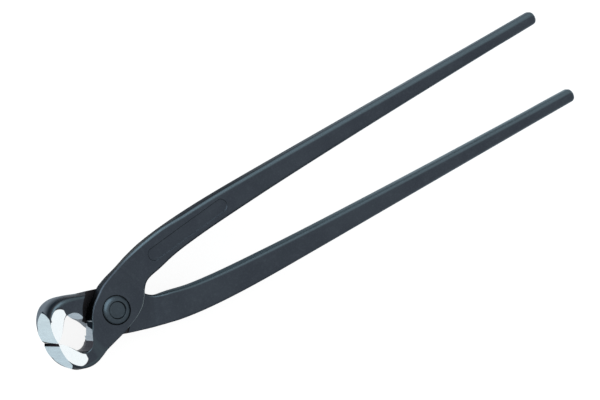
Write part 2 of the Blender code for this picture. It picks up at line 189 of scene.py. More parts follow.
# Shares of HEAD_REACH, HEAD_HALF_HEIGHT, the rise from plate to jaw and JAW_ROUND.
HEAD_RIB_SHARES = (
    Rib(-0.484, -0.210, -0.353, -0.835, 0.10, 1.00, 0.20, 0.50),
    Rib(-0.542, -0.395, -0.479, -0.925, 0.60, 1.00, 0.20, 0.80),
    Rib(-0.607, -0.505, -0.590, -0.988, 1.00, 1.00, 0.20, 1.00),
    Rib(-0.684, -0.532, -0.709, -1.000, 1.00, 1.00, 0.20, 1.05),
    Rib(-0.742, -0.482, -0.832, -0.935, 1.00, 1.00, 0.25, 1.05),
    Rib(-0.803, -0.338, -0.930, -0.768, 1.00, 1.00, 0.30, 1.00),
    Rib(-0.862, -0.192, -0.995, -0.536, 1.00, 1.00, 0.30, 0.90),
    Rib(-0.921, -0.074, -1.014, -0.274, 1.00, 1.00, 0.25, 0.70),
    Rib(-0.948, -0.041, -1.010, -0.095, 1.00, 1.00, 0.15, 0.30),
)
EDGE_INNER_SHARE = 0.972
EDGE_OUTER_SHARE = 0.988
EDGE_ROUND_SHARE = 0.03


def blend(low, high, share):
    return low + (high - low) * share


def handle_rib(shares):
    half = blend(HANDLE_HALF_THICKNESS, TIP_HALF_THICKNESS, shares.top)
    return Rib(
        shares.left_x * HANDLE_REACH,
        shares.left_y * HANDLE_HALF_SPAN,
        shares.right_x * HANDLE_REACH,
        shares.right_y * HANDLE_HALF_SPAN,
        half,
        half,
        shares.left_round * HANDLE_ROUND,
        shares.right_round * HANDLE_ROUND,
    )


def joint_rib(shares):
    return Rib(
        shares.left_x * JOINT_RADIUS,
        shares.left_y * JOINT_RADIUS,
        shares.right_x * JOINT_RADIUS,
        shares.right_y * JOINT_RADIUS,
        blend(HANDLE_HALF_THICKNESS, PLATE_HEIGHT, shares.top),
        blend(HANDLE_HALF_THICKNESS, JAW_HALF_WIDTH, shares.bottom),
        shares.left_round * PLATE_ROUND,
        shares.right_round * PLATE_ROUND,
    )


def head_rib(shares):
    return Rib(
        shares.left_x * HEAD_REACH,
        shares.left_y * HEAD_HALF_HEIGHT,
        shares.right_x * HEAD_REACH,
        shares.right_y * HEAD_HALF_HEIGHT,
        blend(PLATE_HEIGHT, JAW_HALF_WIDTH, shares.top),
        shares.bottom * JAW_HALF_WIDTH,
        shares.left_round * JAW_ROUND,
        shares.right_round * JAW_ROUND,
    )


def tip_ribs():
    """The handle's rounded end, from the point back to its full section."""
    full = handle_rib(TIP_SHARES)
    middle = (full.left_y + full.right_y) / 2
    half = (full.left_y - full.right_y) / 2
    ribs = []
    for step in range(1, TIP_STEPS + 1):
        turn = pi / 2 * step / TIP_STEPS
        swell = sin(turn)
        x = full.left_x - TIP_LENGTH * (1 - cos(turn)) - TIP_TRIM * cos(turn)
        ribs.append(
            Rib(
                x,
                middle + half * swell,
                x,
                middle - half * swell,
                full.top * swell,
                full.bottom * swell,
                full.left_round * swell,
                full.right_round * swell,
            )
        )
    return ribs


def edge_rib():
    """The cutting edge, half a hair gap from the tool's middle line."""
    y = -HAIR_GAP / 2
    rounding = EDGE_ROUND_SHARE * JAW_ROUND
    return Rib(
        -EDGE_INNER_SHARE * HEAD_REACH,
        y,
        -EDGE_OUTER_SHARE * HEAD_REACH,
        y,
        JAW_HALF_WIDTH,
        JAW_HALF_WIDTH,
        rounding,
        rounding,
    )


def spline_between(before, start, end, after, share):
    """Point at a share of the way from start to end on a Catmull-Rom curve."""
    square = share * share
    cube = square * share
    return 0.5 * (
        2 * start
        + (end - before) * share
        + (2 * before - 5 * start + 4 * end - after) * square
        + (3 * start - before - 3 * end + after) * cube
    )


def forged_ribs():
    """The ribs of a lever, from the handle's full section to the cutting edge."""
    marks = [handle_rib(shares) for shares in HANDLE_RIB_SHARES]
    marks += [joint_rib(shares) for shares in JOINT_RIB_SHARES]
    marks += [head_rib(shares) for shares in HEAD_RIB_SHARES]
    marks = [tip_ribs()[-1], *marks, edge_rib()]
    ribs = []
    for index in range(len(marks) - 1):
        near = (
            marks[max(index - 1, 0)],
            marks[index],
            marks[index + 1],
            marks[min(index + 2, len(marks) - 1)],
        )
        for step in range(SPAN_STEPS):
            share = step / SPAN_STEPS
            ribs.append(Rib(*(spline_between(*sizes, share) for sizes in zip(*near))))
    ribs.append(marks[-1])
    return ribs


def corner(centre, radius, first_turn):
    """Points of a rounded corner, a quarter turn from first_turn on."""
    points = []
    start = (cos(first_turn), sin(first_turn))
    end = (-start[1], start[0])
    smallness = (ROUND_FROM - radius) / (ROUND_FROM - FLAT_TO)
    flat_share = CORNER_FLAT_SHARE * min(1.0, max(0.0, smallness))
    for step in range(CORNER_STEPS + 1):
        turn = first_turn + pi / 2 * step / CORNER_STEPS
        chord = [blend(near, far, step / CORNER_STEPS) for near, far in zip(start, end)]
        across = blend(cos(turn), chord[0], flat_share)
        along = blend(sin(turn), chord[1], flat_share)
        points.append((centre[0] + radius * across, centre[1] + radius * along))
    return points


def edge_radius(rounding, width, height):
    """A forged edge's rounding, kept smaller than the face and the wall that it joins."""
    return min(rounding, MOST_WIDTH_SHARE * width, MOST_HEIGHT_SHARE * height)


def lean(side, height, radius, width):
    """How far a drafted wall leans in by the start of its rounded corner."""
    draft_share = blend(RIGHT_DRAFT_SHARE, LEFT_DRAFT_SHARE, side)
    return min(draft_share * (height - radius), MOST_WIDTH_SHARE * width - radius)


def flare(x):
    """How far the plate's face stands out over its flank, near the joint."""
    rising = (x - FLARE_FROM_X) / FLARE_BLEND_SHARE / JOINT_RADIUS
    falling = (FLARE_TO_X - x) / JOINT_RADIUS
    return FLARE * max(0.0, min(1.0, rising, falling))


def edge_corner(width, side, height, rounding, quarter, flared=0.0):
    """A rounded corner of a rib's section. Side is 1 on the left and 0 on the right."""
    radius = edge_radius(rounding, width, abs(height))
    inset = lean(side, abs(height), radius, width) + radius - flared
    centre = (blend(inset, width - inset, side), height - copysign(radius, height))
    return corner(centre, radius, quarter * pi / 2)


def section(rib):
    """Outline of a rib as (distance from the right outline, height), anticlockwise."""
    width = hypot(rib.left_x - rib.right_x, rib.left_y - rib.right_y)
    return [
        (width, 0.0),
        *edge_corner(width, 1, rib.top, rib.left_round, 0, flare(rib.left_x)),
        *edge_corner(width, 0, rib.top, rib.right_round, 1),
        (0.0, 0.0),
        *edge_corner(width, 0, -rib.bottom, rib.right_round, 2),
        *edge_corner(width, 1, -rib.bottom, rib.left_round, 3),
    ]


def ring_points(rib):
    right = Vector((rib.right_x, rib.right_y, 0.0))
    across = (Vector((rib.left_x, rib.left_y, 0.0)) - right).normalized()
    upward = Vector((0.0, 0.0, 1.0))
    return [right + across * distance + upward * height for distance, height in section(rib)]


def mesh_object(name, bm):
    """A new object from a bmesh, with its faces turned outwards."""
    bmesh.ops.recalc_face_normals(bm, faces=bm.faces)
    mesh = bpy.data.meshes.new(name)
    bm.to_mesh(mesh)
    bm.free()
    body = bpy.data.objects.new(name, mesh)
    bpy.context.scene.collection.objects.link(body)
    return body


def lofted(name, ribs):
    """A closed body through the ribs' sections, with flat ends."""
    bm = bmesh.new()
    rings = [[bm.verts.new(point) for point in ring_points(rib)] for rib in ribs]
    for ring, following in zip(rings, rings[1:]):
        for index, vert in enumerate(ring):
            bm.faces.new((vert, ring[index - 1], following[index - 1], following[index]))
    bm.faces.new(rings[0])
    bm.faces.new(rings[-1])
    return mesh_object(name, bm)


def prism(name, outline, bottom, top):
    """An outline in X and Y, extruded from one height to another."""
    bm = bmesh.new()
    face = bm.faces.new([bm.verts.new((x, y, bottom)) for x, y in outline])
    raised = bmesh.ops.extrude_face_region(bm, geom=[face])["geom"]
    verts = [item for item in raised if isinstance(item, bmesh.types.BMVert)]
    bmesh.ops.translate(bm, verts=verts, vec=(0.0, 0.0, top - bottom))
    return mesh_object(name, bm)


def tapered(name, low_outline, high_outline, bottom, top):
    """A body between two outlines of as many points, one at each height."""
    bm = bmesh.new()
    low = [bm.verts.new((x, y, bottom)) for x, y in low_outline]
    high = [bm.verts.new((x, y, top)) for x, y in high_outline]
    for index in range(len(low)):
        bm.faces.new((low[index - 1], low[index], high[index], high[index - 1]))
    bm.faces.new(low)
    bm.faces.new(high)
    return mesh_object(name, bm)


def turned(name, profile):
    """A body turned about Z from (radius, height) points that start and end on the axis."""
    bm = bmesh.new()
    verts = [bm.verts.new((radius, 0.0, height)) for radius, height in profile]
    edges = [bm.edges.new(pair) for pair in zip(verts, verts[1:])]
    bmesh.ops.spin(
        bm,
        geom=verts + edges,
        axis=(0.0, 0.0, 1.0),
        cent=(0.0, 0.0, 0.0),
        angle=2 * pi,
        steps=TURN_STEPS,
        use_merge=True,
    )
    bmesh.ops.remove_doubles(bm, verts=bm.verts, dist=SEAM_MERGE)
    return mesh_object(name, bm)


def cylinder(name, radius, bottom, top):
    return turned(name, [(0.0, top), (radius, top), (radius, bottom), (0.0, bottom)])


def cut(body, cutter, look):
    """Takes the cutter out of the body. The faces that it leaves get the look's material."""
    cutter.data.materials.append(look)
    cutter.parent = body
    modifier = body.modifiers.new(cutter.name, "BOOLEAN")
    modifier.material_mode = "TRANSFER"
    modifier.operation = "DIFFERENCE"
    modifier.solver = "EXACT"
    modifier.object = cutter


def polar(x, y):
    return atan2(y, x), hypot(x, y)


def plate_radius(ribs, angle):
    """Distance from the rivet to the mating lever's plate edge, towards an angle."""
    edge = [polar(rib.right_x, -rib.right_y) for rib in ribs if rib.right_y < JOINT_RADIUS]
    edge = [(turn, radius) for turn, radius in edge if radius < LAP_OPEN_RADIUS]
    for (turn, radius), (next_turn, next_radius) in zip(edge, edge[1:]):
        if turn <= angle < next_turn:
            return blend(radius, next_radius, (angle - turn) / (next_turn - turn))
    return edge[0][1] if angle < edge[0][0] else LAP_OPEN_RADIUS


def swept_radius(ribs, angle):
    """Furthest that the mating plate reaches towards an angle while the tool opens."""
    turns = [OPENING_ANGLE * step / ARC_STEPS for step in range(ARC_STEPS + 1)]
    return max(plate_radius(ribs, angle + turn) for turn in turns) + LAP_CLEARANCE


def lap_outline(ribs, jaw_radius):
    """Outline of the lap recess: open, but for the shoulders of the handle and the jaw."""
    outline = []
    for step in range(LAP_STEPS):
        angle = 2 * pi * step / LAP_STEPS - pi
        if 0 <= angle <= HANDLE_SHOULDER_ANGLE:
            radius = min(swept_radius(ribs, angle), LAP_OPEN_RADIUS)
        elif abs(angle) > JAW_SHOULDER_ANGLE:
            radius = jaw_radius
        else:
            radius = LAP_OPEN_RADIUS
        outline.append((radius * cos(angle), radius * sin(angle)))
    return outline


def cut_lap(lever, ribs, jaw_root, look):
    depth = -JAW_HALF_WIDTH - CUT_OVERRUN
    slope = (JAW_SHOULDER_RADIUS - jaw_root) / JAW_HALF_WIDTH
    deep = lap_outline(ribs, JAW_SHOULDER_RADIUS + slope * CUT_OVERRUN)
    near = lap_outline(ribs, jaw_root)
    cut(lever, tapered(lever.name + "_lap_cut", deep, near, depth, HAIR_GAP / 2), look)


def cut_rivet_seat(lever, head_radius, look):
    top = PLATE_HEIGHT + CUT_OVERRUN
    bore = SHANK_RADIUS + HAIR_GAP
    seat = head_radius + SEAT_GAP
    floor = PLATE_HEIGHT - SEAT_DEPTH
    under = -CUT_OVERRUN
    profile = [(0.0, top), (seat, top), (seat, floor), (bore, floor), (bore, under), (0.0, under)]
    cut(lever, turned(lever.name + "_rivet_cut", profile), look)


def cut_jaw_side(lever, side, look):
    """Grinds one side of the jaw, thinner towards the cutting edge. Side is 1 or -1."""
    slope = SIDE_GRIND_DEPTH / SIDE_GRIND_LENGTH
    start = -HEAD_REACH + SIDE_GRIND_LENGTH + CUT_OVERRUN
    end = -HEAD_REACH - CUT_OVERRUN
    outline = [
        (start, JAW_HALF_WIDTH + slope * CUT_OVERRUN),
        (end, JAW_HALF_WIDTH - SIDE_GRIND_DEPTH - slope * CUT_OVERRUN),
        (end, JAW_HALF_WIDTH + CUT_OVERRUN),
        (start, JAW_HALF_WIDTH + CUT_OVERRUN),
    ]
    name = f"{lever.name}_side_cut_{'front' if side > 0 else 'back'}"
    cutter = prism(name, [(x, side * z) for x, z in outline], -HEAD_HALF_HEIGHT, HEAD_HALF_HEIGHT)
    cutter.data.transform(Matrix.Rotation(pi / 2, 4, "X"))
    cut(lever, cutter, look)


def cut_jaw_end(lever, tilt, look):
    """Grinds the jaw's outer face to a wide arc that leans a little to one side."""
    reach = HEAD_REACH + CUT_OVERRUN
    centre_x = -HEAD_REACH + END_GRIND_RADIUS
    outline = [(-reach, CUT_OVERRUN)]
    for step in range(END_GRIND_STEPS + 1):
        turn = END_GRIND_FROM + END_GRIND_TURN * step / END_GRIND_STEPS
        x = centre_x + END_GRIND_RADIUS * cos(turn)
        outline.append((x, END_GRIND_RADIUS * sin(turn) - END_GRIND_OFFSET))
    outline.append((-reach, outline[-1][1]))
    height = JAW_HALF_WIDTH + CUT_OVERRUN
    cutter = prism(lever.name + "_end_cut", outline, -height, height)
    tilted = Matrix.Translation((-HEAD_REACH, 0.0, 0.0)) @ Matrix.Rotation(tilt, 4, "Y")
    cutter.data.transform(tilted @ Matrix.Translation((HEAD_REACH, 0.0, 0.0)))
    cut(lever, cutter, look)


def cut_eye(lever, heading, look):
    """Grinds the hollow behind the cutting edge, and a flat from it along the plate."""
    outline = [(EYE_CENTRE_X, EYE_CENTRE_Y + EYE_FLAT_LENGTH)]
    flat = (-sin(heading), cos(heading))
    arc = []
    for step in range(ARC_STEPS + 1):
        turn = blend(heading, EYE_ARC_END, step / ARC_STEPS)
        arc.append((EYE_CENTRE_X + EYE_RADIUS * cos(turn), EYE_CENTRE_Y + EYE_RADIUS * sin(turn)))
    outline.append((arc[0][0] + EYE_FLAT_LENGTH * flat[0], arc[0][1] + EYE_FLAT_LENGTH * flat[1]))
    height = JAW_HALF_WIDTH + CUT_OVERRUN
    cut(lever, prism(lever.name + "_eye_cut", outline + arc, -height, height), look)


def relieve_eye(lever, look):
    """Grinds the hollow wider towards the side that the lever's handle does not lie on."""
    length = JAW_HALF_WIDTH + 2 * CUT_OVERRUN
    cutter = cylinder(lever.name + "_relief_cut", EYE_RADIUS, -length, 0.0)
    axis = Vector((sin(EYE_RELIEF_HEADING), -cos(EYE_RELIEF_HEADING), 0.0))
    centre = Matrix.Translation((EYE_CENTRE_X, EYE_CENTRE_Y, 0.0))
    cutter.data.transform(centre @ Matrix.Rotation(EYE_RELIEF_TILT, 4, axis))
    cut(lever, cutter, look)


def stadium(half, radius):
    """Outline with straight sides and round ends."""
    outline = []
    for end in (1, -1):
        for step in range(ARC_STEPS + 1):
            turn = pi * step / ARC_STEPS - end * pi / 2
            outline.append((end * half + radius * cos(turn), radius * sin(turn)))
    return outline


def cut_recess(lever, look):
    """Sinks a shallow recess with round ends and sloped walls into the handle."""
    half = (RECESS_LENGTH - RECESS_WIDTH) / 2
    floor_outline = stadium(half, RECESS_WIDTH / 2 - RECESS_SLOPE)
    widening = RECESS_SLOPE / RECESS_DEPTH * CUT_OVERRUN
    top_outline = stadium(half, RECESS_WIDTH / 2 + widening)
    floor_height = HANDLE_HALF_THICKNESS - RECESS_DEPTH
    top = HANDLE_HALF_THICKNESS + CUT_OVERRUN
    cutter = tapered(lever.name + "_recess_cut", floor_outline, top_outline, floor_height, top)
    centre = Matrix.Translation((RECESS_CENTRE_X, RECESS_CENTRE_Y, 0.0))
    cutter.data.transform(centre @ Matrix.Rotation(RECESS_ANGLE, 4, "Z"))
    cut(lever, cutter, look)


# Colours as light reflected.
FORGED_BLACK = (0.036, 0.044, 0.056, 1.0)
FORGED_BLACK_WORN = (0.052, 0.064, 0.078, 1.0)
# Painted shade: the flanks near the joint are coloured darker than the faces. The machined finish
# also uses this colour as its second tone.
FLANK_BLACK = (0.033, 0.035, 0.039, 1.0)
MACHINED_BLACK = (0.032, 0.030, 0.033, 1.0)
RIVET_BLACK = (0.039, 0.051, 0.062, 1.0)
RIVET_BLACK_WORN = (0.056, 0.075, 0.090, 1.0)
# Painted shade along the cutting edges, where the jaws meet: on the lower jaw's land and the
# closing faces.
LAND_SHADE_BLACK = (0.085, 0.078, 0.084, 1.0)
CLOSING_SHADE_BLACK = (0.030, 0.032, 0.036, 1.0)
UNGROUND_BLACK = (0.037, 0.041, 0.049, 1.0)
# Painted shade where the front hollow turns under.
HOLLOW_SHADE_BLACK = (0.105, 0.098, 0.106, 1.0)
# The next three colours are painted highlights on rounded edges: the joint plate's edge towards
# the handle, a handle's upper edge, and the edge around the jaw's face.
PLATE_EDGE_HIGHLIGHT = (0.24, 0.29, 0.31, 1.0)
HANDLE_EDGE_HIGHLIGHT = (0.066, 0.090, 0.106, 1.0)
JAW_EDGE_HIGHLIGHT = (0.052, 0.070, 0.082, 1.0)
# Painted highlight on the upper jaw's outer flank.
JAW_FLANK_HIGHLIGHT = (0.25, 0.29, 0.33, 1.0)
SIDE_STEEL = (0.90, 0.95, 0.97, 1.0)
SIDE_STEEL_DULL = (0.83, 0.90, 0.93, 1.0)
UPPER_END_STEEL = (0.54, 0.615, 0.64, 1.0)
UPPER_END_STEEL_DULL = (0.48, 0.55, 0.58, 1.0)
# The lower jaw's end is the same ground steel as the upper one's, painted darker as shade.
SHADED_LOWER_END_STEEL = (0.455, 0.53, 0.565, 1.0)
SHADED_LOWER_END_STEEL_DULL = (0.40, 0.47, 0.505, 1.0)
EYE_STEEL = (0.36, 0.40, 0.44, 1.0)
EYE_STEEL_DULL = (0.31, 0.35, 0.39, 1.0)
FLOOR_COLOUR = (0.86, 0.86, 0.86, 1.0)
FLOOR_SEEN_COLOUR = (0.26, 0.26, 0.26, 1.0)
WORLD_COLOUR = (1.0, 1.0, 1.0, 1.0)
KEY_COLOUR = (0.84, 0.96, 1.0)

# Tints of what the steel mirrors at a flat angle.
SHEEN_TINT = (0.82, 0.93, 1.0, 1.0)
OXIDE_SHEEN_TINT = (0.36, 0.38, 0.40, 1.0)
LAND_SHEEN_TINT = (0.20, 0.20, 0.21, 1.0)
EDGE_SHEEN_TINT = (0.10, 0.10, 0.11, 1.0)

# A blackened finish: two colours, its roughness from smooth to rough, and the depth of its grain.
Finish = namedtuple("Finish", "colour worn smooth rough grain_depth")
FORGED = Finish(FORGED_BLACK, FORGED_BLACK_WORN, 0.34, 0.46, 0.00006)
SUNK = Finish(FORGED_BLACK, FORGED_BLACK_WORN, 0.40, 0.50, 0.00004)
MACHINED = Finish(MACHINED_BLACK, FLANK_BLACK, 0.38, 0.48, 0.00002)
HEAD = Finish(RIVET_BLACK, RIVET_BLACK_WORN, 0.28, 0.40, 0.00003)

# A ground finish: two colours, and streaks to the metre along each axis.
Grind = namedtuple("Grind", "colour dull streaks")
ALONG_Y = (1500.0, 60.0, 1500.0)
ALONG_Z = (1500.0, 1500.0, 60.0)
SIDE_GRIND = Grind(SIDE_STEEL, SIDE_STEEL_DULL, ALONG_Y)
UPPER_END_GRIND = Grind(UPPER_END_STEEL, UPPER_END_STEEL_DULL, ALONG_Z)
SHADED_LOWER_END_GRIND = Grind(SHADED_LOWER_END_STEEL, SHADED_LOWER_END_STEEL_DULL, ALONG_Z)
EYE_GRIND = Grind(EYE_STEEL, EYE_STEEL_DULL, ALONG_Z)

# A pattern of noise: features to the metre, layers, offset, the values that show and their share.
Pattern = namedtuple("Pattern", "scale layers offset span share")
CLOUDS = Pattern(70.0, 5.0, (0.0, 0.0, 0.0), (0.40, 0.68), 0.40)
SPOTS = Pattern(420.0, 4.0, (0.7, 0.5, 0.2), (0.55, 0.72), 0.35)
GRAIN = Pattern(1500.0, 3.0, (0.3, 0.1, 0.7), (0.45, 0.70), 0.40)
STREAKS = Pattern(1.0, 4.0, (0.0, 0.0, 0.0), (0.35, 0.70), 0.65)
PATCHES = Pattern(220.0, 3.0, (0.2, 0.9, 0.4), (0.45, 0.75), 0.35)

# Roughness, bump and rounded edges of the blackened and the ground steel.
OXIDE_ROUGH_SPAN = (0.75, 1.25)
SPOT_RELIEF_SHARE = 0.6
GRAIN_RELIEF_SHARE = 0.4
OXIDE_EDGE_RADIUS = 0.00022
STREAK_ROUGH_SPAN = (0.30, 0.72)
GROUND_SMOOTH = 0.24
GROUND_ROUGH = 0.36
STREAK_DEPTH = 0.00003
GROUND_EDGE_RADIUS = 0.00015
BEVEL_SAMPLES = 4

# Spans over which a mask fades in or out, by how far a face turns to the tool's flat sides.
FACE_SPAN = (0.30, 0.62)
WALL_SPAN = (0.3, 0.6)
JAW_EDGE_IN = (0.45, 0.70)
JAW_EDGE_OUT = (0.92, 0.985)
HANDLE_EDGE_OUT = (0.90, 0.98)
PLATE_EDGE_IN = (0.20, 0.35)
PLATE_EDGE_OUT = (0.90, 0.97)
# How far down a handle's flank its upper edge gets a painted highlight, on each lever, and how
# softly it fades in.
EDGE_HIGHLIGHT_FROM = 0.30
FLANK_HIGHLIGHT_FROM = -0.30
HIGHLIGHT_BLEND = 0.2

# Spans by how far a face turns upwards in the picture, and towards the handles.
UPWARD_SPAN = (0.12, 0.35)
HANDLEWARD_SPAN = (0.15, 0.40)

# Where the masks lie, in the frame of the imported model, and how soft their boundaries are. Over
# HANDLE_SKIN_SPAN the flanks' painted shade gives way to the faces' colour, and the sheen grows.
MASK_EDGE = 0.00012
HANDLE_SKIN_SPAN = (-0.03, 0.07)
HANDLE_EDGE_SPAN = (-0.1000, -0.0750)
PLATE_EDGE_FROM_X = -0.1060
PLATE_EDGE_TO_X = -0.0900
JAW_FROM_X = -0.1185
JAW_LIT_SPAN = (0.0, 0.0060)
JAW_LIT_CLOUDS = (0.30, 0.65)
JAW_LIT_LEAST = 0.75
CLOSING_TO_X = -0.1315
LAND_HEIGHT = 0.0013
EYE_RUN_SLOPE = 0.92
EYE_RUN_HEIGHT = 0.0010
EYE_RUN_X = -0.1175
EYE_DARK_HEIGHT = -0.0068
REAR_RUN_X = -0.1172
REAR_RUN_HEIGHT = 0.0045
ARCH_X = -0.1336
ARCH_Y = 0.0103
ARCH_RADIUS = 0.0040
ARCH_FOOT_SLOPE = 0.5

# The arch of the upper end falls off with the square of the distance from its top, to the metre.
END_ARCH_Z = -0.002
END_ARCH_DROP = 22.0
END_ARCH_Y = 0.0143

# The camera's fit to the photograph. The picture has this scale in a plane across the view, which
# lies MIDDLE_DEPTH towards the camera from the rivet's axis.
PIXELS_PER_METRE = 2174.0
PHOTO_WIDTH = 600
PHOTO_MIDDLE = (0.08700, 0.05030)
VIEW_RIGHT = Vector((0.8257, -0.4423, 0.3500))
VIEW_UP = Vector((0.4759, 0.8794, -0.0115))
VIEW_BACK = VIEW_RIGHT.cross(VIEW_UP)
CAMERA_DISTANCE = 8.5
MIDDLE_DEPTH = -0.033
SENSOR_WIDTH = 36.0
CLIP_END = 60.0

# Floor and light. Rays that show the background see a white world, and a floor of FLOOR_LIFT and
# FLOOR_SEEN_COLOUR together, which keeps the object's shadow.
FLOOR_HEIGHT = -0.0112
FLOOR_HALF_SIZE = 3.0
FLOOR_ROUGHNESS = 0.9
FLOOR_LIFT = 0.88
WORLD_LIGHT = 0.65
BACKGROUND_RAYS = ("Is Camera Ray", "Is Glossy Ray", "Is Transmission Ray")
KEY_DIRECTION = VIEW_UP * 0.51 - VIEW_RIGHT * 0.61 + VIEW_BACK * 0.64
KEY_DISTANCE = 1.3
KEY_SIZES = (2.0, 1.0)
KEY_WATTS = 20.0


def pivot_x():
    """Place of the rivet's axis, with the middle of the tool's length at the origin."""
    jaw_reach = HEAD_REACH + JAW_HALF_WIDTH * tan(END_GRIND_TILT)
    return (jaw_reach - HANDLE_REACH) / 2


class Look:
    """A node material on the object's own coordinates, in metres."""

    def __init__(self, name):
        self.material = bpy.data.materials.new(name)
        self.material.use_nodes = True
        self.nodes = self.material.node_tree.nodes
        self.links = self.material.node_tree.links
        self.shader = self.nodes["Principled BSDF"]
        self.place = self.nodes.new("ShaderNodeTexCoord").outputs["Object"]

    def noise(self, pattern, stretch=(1.0, 1.0, 1.0)):
        """A pattern's noise, stretched along an axis."""
        mapping = self.nodes.new("ShaderNodeMapping")
        mapping.inputs["Scale"].default_value = stretch
        mapping.inputs["Location"].default_value = pattern.offset
        self.links.new(self.place, mapping.inputs["Vector"])
        noise = self.nodes.new("ShaderNodeTexNoise")
        noise.inputs["Scale"].default_value = pattern.scale
        noise.inputs["Detail"].default_value = pattern.layers
        self.links.new(mapping.outputs["Vector"], noise.inputs["Vector"])
        return noise.outputs["Fac"]

    def shown(self, pattern, noise):
        """How much of the second colour a pattern's noise gives."""
        return self.ramp(noise, *pattern.span, 0.0, pattern.share)

    def height(self, axis):
        """The object's own coordinate along an axis."""
        node = self.nodes.new("ShaderNodeSeparateXYZ")
        self.links.new(self.place, node.inputs["Vector"])
        return node.outputs[axis]

    def rising(self, value, span):
        """0 before a span of values and 1 beyond it."""
        return self.ramp(value, *span, 0.0, 1.0)

    def falling(self, value, span):
        """1 before a span of values and 0 beyond it."""
        return self.ramp(value, *span, 1.0, 0.0)

    def beyond(self, value, edge):
        """1 where a length is beyond an edge, with a soft boundary."""
        return self.rising(value, (edge - MASK_EDGE, edge + MASK_EDGE))

    def before(self, value, edge):
        """1 where a length is before an edge, with a soft boundary."""
        return self.falling(value, (edge - MASK_EDGE, edge + MASK_EDGE))

    def folded(self, operation, values):
        result = values[0]
        for value in values[1:]:
            result = self.math(operation, result, value)
        return result

    def all_of(self, *masks):
        return self.folded("MULTIPLY", masks)

    def total(self, *values):
        return self.folded("ADD", values)

    def magnitude(self, value):
        return self.math("ABSOLUTE", value, 0.0)

    def normal(self, axis):
        """How far the surface faces along an axis of the object."""
        shape = self.nodes.new("ShaderNodeTexCoord")
        parts = self.nodes.new("ShaderNodeSeparateXYZ")
        self.links.new(shape.outputs["Normal"], parts.inputs["Vector"])
        return parts.outputs[axis]

    def facing(self):
        """1 on the flat sides of the tool and 0 on its flanks."""
        return self.magnitude(self.normal("Z"))

    def ramp(self, value, low, high, start, end):
        """Maps a value's low to high range onto start to end."""
        node = self.nodes.new("ShaderNodeMapRange")
        node.inputs["From Min"].default_value = low
        node.inputs["From Max"].default_value = high
        node.inputs["To Min"].default_value = start
        node.inputs["To Max"].default_value = end
        self.links.new(value, node.inputs["Value"])
        return node.outputs["Result"]

    def math(self, operation, first, second):
        node = self.nodes.new("ShaderNodeMath")
        node.operation = operation
        for socket, value in zip(node.inputs, (first, second)):
            if isinstance(value, float):
                socket.default_value = value
            else:
                self.links.new(value, socket)
        return node.outputs["Value"]

    def mixed(self, share, first, second):
        """A colour between two others. Each is a constant or a node's colour."""
        node = self.nodes.new("ShaderNodeMix")
        node.data_type = "RGBA"
        self.links.new(share, node.inputs["Factor"])
        for name, value in (("A", first), ("B", second)):
            socket = [item for item in node.inputs if item.name == name and item.type == "RGBA"][0]
            if isinstance(value, tuple):
                socket.default_value = value
            else:
                self.links.new(value, socket)
        return [item for item in node.outputs if item.type == "RGBA"][0]

    def colour(self, value):
        self.links.new(value, self.shader.inputs["Base Color"])

    def roughness(self, value):
        self.links.new(value, self.shader.inputs["Roughness"])

    def tint(self, value):
        self.links.new(value, self.shader.inputs["Specular Tint"])

    def relief(self, height, depth, edge_radius):
        """Bump of a real depth, over edges that look rounded to a small radius."""
        edge = self.nodes.new("ShaderNodeBevel")
        edge.samples = BEVEL_SAMPLES
        edge.inputs["Radius"].default_value = edge_radius
        bump = self.nodes.new("ShaderNodeBump")
        bump.inputs["Distance"].default_value = depth
        self.links.new(height, bump.inputs["Height"])
        self.links.new(edge.outputs["Normal"], bump.inputs["Normal"])
        self.links.new(bump.outputs["Normal"], self.shader.inputs["Normal"])


